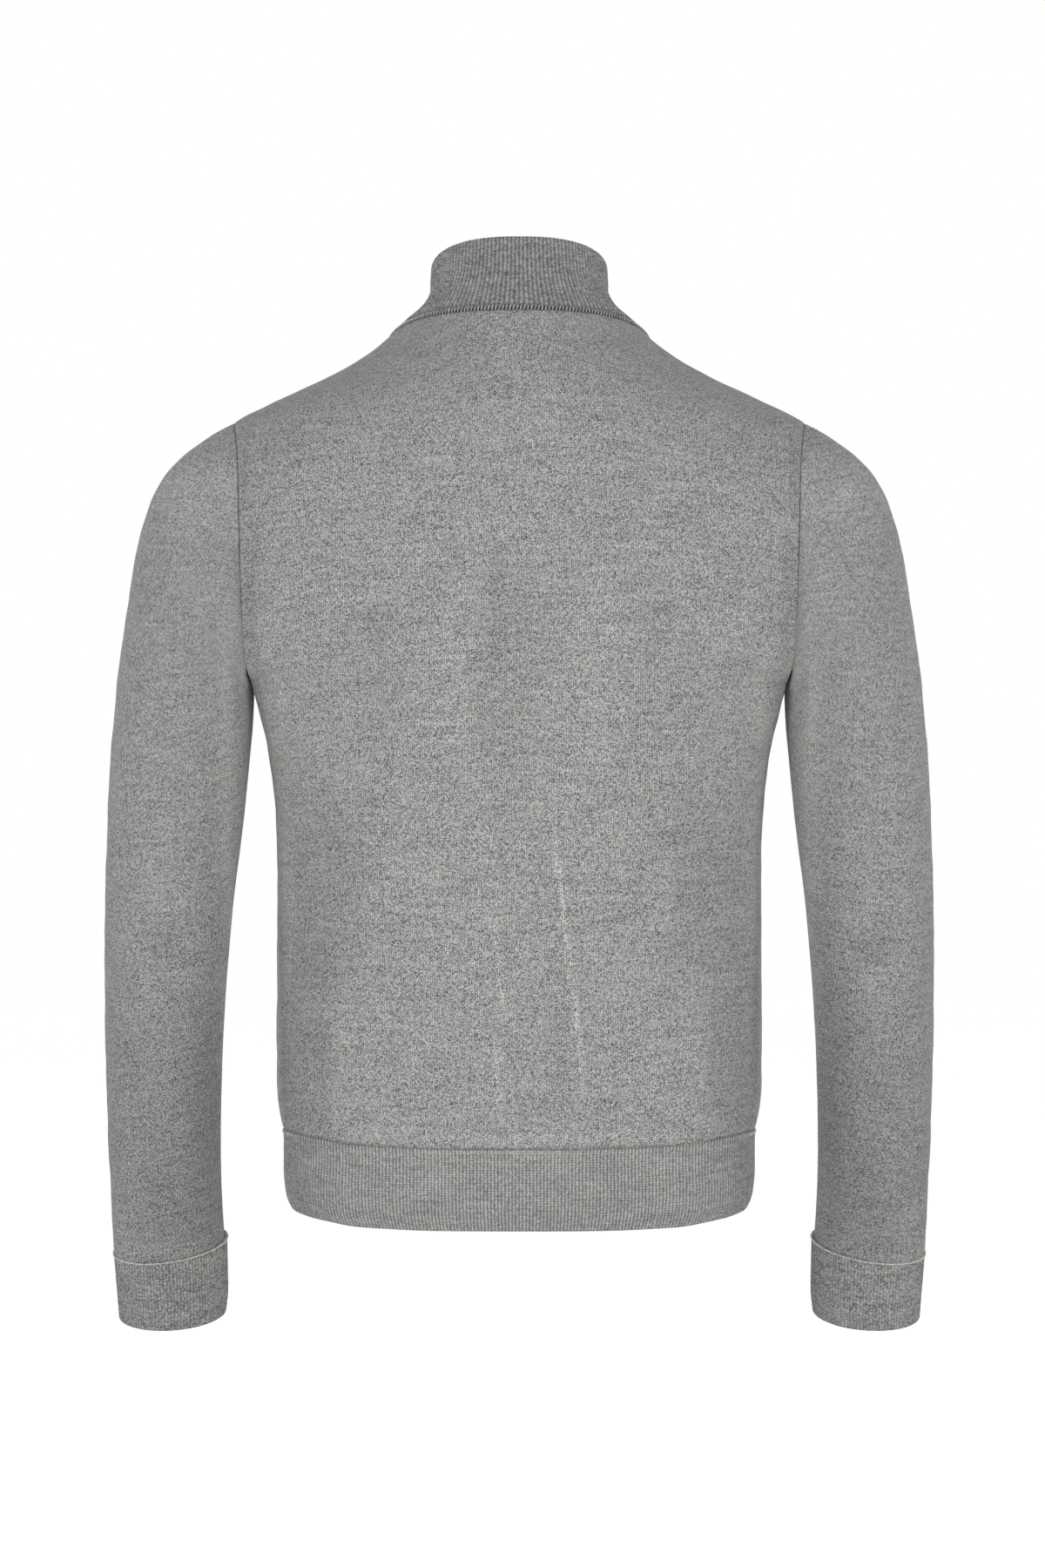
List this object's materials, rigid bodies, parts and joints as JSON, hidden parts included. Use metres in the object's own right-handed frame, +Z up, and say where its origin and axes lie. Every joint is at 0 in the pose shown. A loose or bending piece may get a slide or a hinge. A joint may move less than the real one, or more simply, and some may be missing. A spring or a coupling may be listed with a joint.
{
  "type": "zip-up cardigan",
  "caption": "Fine-knit zip-up cardigan with a standing rib collar, rib hem and cuffs, filled out as worn with nobody in it.",
  "frame": {"origin": "middle of the neck, level with the inner ends of the shoulder seams", "axes": "+Z up, -Y out of the front of the garment, +X towards the wearer's left"},
  "size_m": [0.6234, 0.2418, 0.8138],
  "materials": {
    "melange_knit": "fine wool knit, matt, mid-grey melange",
    "melange_rib": "wool rib knit, matt, mid-grey melange",
    "zip_tape": "woven polyester tape, grey",
    "nickel_metal": "nickel plated, satin"
  },
  "bodies": {
    "garment": {"back": "melange_knit", "front_left": "melange_knit", "front_right": "melange_knit", "sleeve_left": "melange_knit", "sleeve_right": "melange_knit", "collar": "melange_rib", "hem_band": "melange_rib", "cuff_left": "melange_rib", "cuff_right": "melange_rib", "zip_tape_left": "zip_tape", "zip_tape_right": "zip_tape", "zip_chain_left": "nickel_metal", "zip_chain_right": "nickel_metal", "zip_stop_left": "nickel_metal", "zip_stop_right": "nickel_metal", "zip_box": "nickel_metal", "zip_slider": "nickel_metal"},
    "pull": {"zip_pull": "nickel_metal"}
  },
  "joints": [
    {"name": "pull_swing", "type": "hinge", "parent": "garment", "child": "pull", "pos_m": [0, -0.07298, -0.0051], "axis": [-1, 0, 0], "range_deg": [0, 165]}
  ]
}
